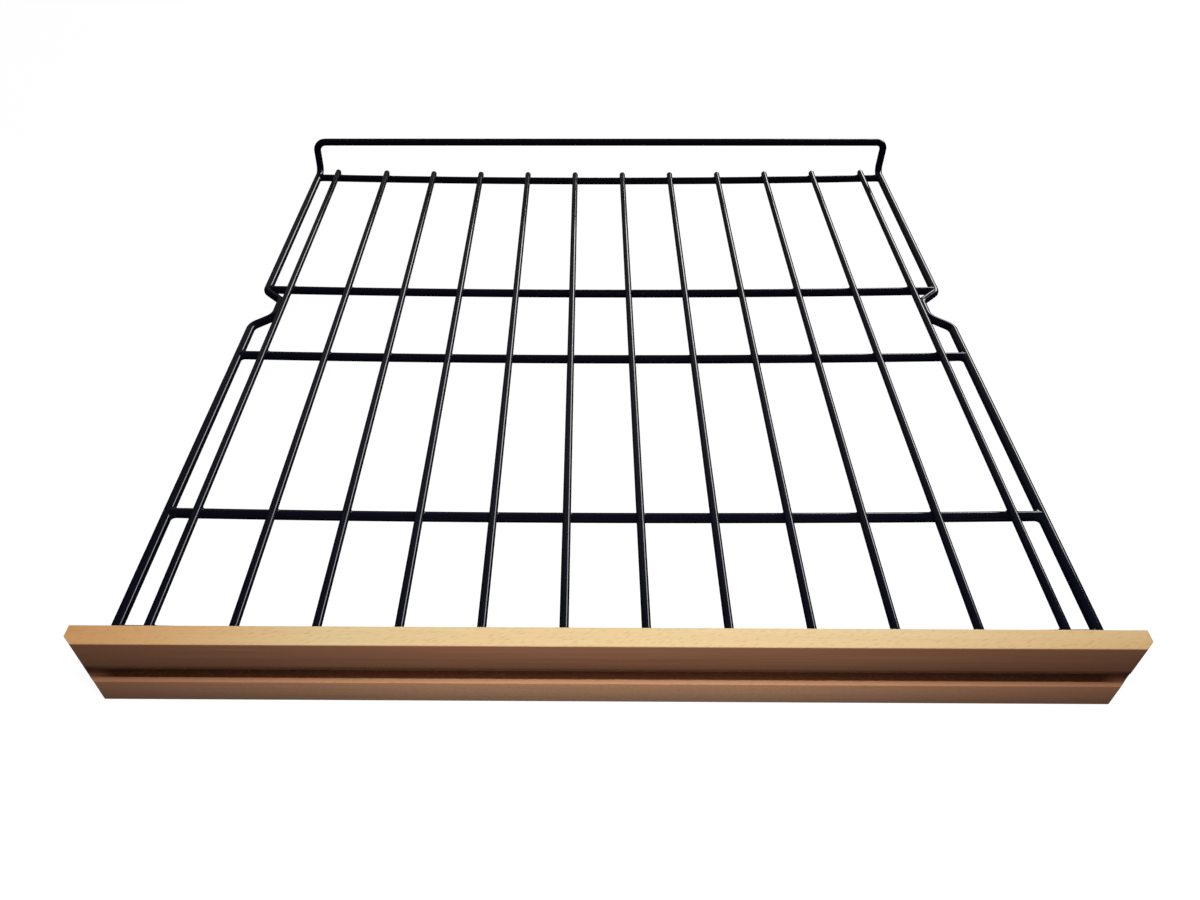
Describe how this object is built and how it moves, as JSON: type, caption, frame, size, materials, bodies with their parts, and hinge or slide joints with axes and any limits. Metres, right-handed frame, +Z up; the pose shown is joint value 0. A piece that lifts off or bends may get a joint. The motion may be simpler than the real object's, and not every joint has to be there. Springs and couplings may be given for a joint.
{
  "type": "wine cabinet wire shelf",
  "caption": "Pull-out wire shelf for a wine cabinet: a rack of black coated wires with notched side rails and a raised rear bar, behind a beech board with a finger groove.",
  "frame": {"origin": "middle of the footprint, at the height of the front board's underside", "axes": "+X across the width towards the right rail as seen from the front, +Y from the board towards the rear stop bar, +Z up"},
  "size_m": [0.534, 0.5173, 0.069],
  "materials": {
    "black_coating": "smooth, semi-gloss black coating on round steel wire",
    "beech": "planed beech with a thin satin oil, short dark flecks along the length",
    "zinc": "bright zinc-plated steel"
  },
  "bodies": {
    "root": {"frame_wire": "black_coating", "cross_wire_rear": "black_coating", "cross_wire_notch": "black_coating", "cross_wire_middle": "black_coating", "cross_wire_forward": "black_coating", "cross_wire_front": "black_coating", "bottle_wire_01": "black_coating", "bottle_wire_02": "black_coating", "bottle_wire_03": "black_coating", "bottle_wire_04": "black_coating", "bottle_wire_05": "black_coating", "bottle_wire_06": "black_coating", "bottle_wire_07": "black_coating", "bottle_wire_08": "black_coating", "bottle_wire_09": "black_coating", "bottle_wire_10": "black_coating", "bottle_wire_11": "black_coating", "bottle_wire_12": "black_coating", "fixing_tab_1": "black_coating", "fixing_tab_2": "black_coating", "fixing_tab_3": "black_coating", "fixing_tab_4": "black_coating", "front_board": "beech", "wood_screw_1": "zinc", "wood_screw_2": "zinc", "wood_screw_3": "zinc", "wood_screw_4": "zinc"}
  },
  "joints": []
}
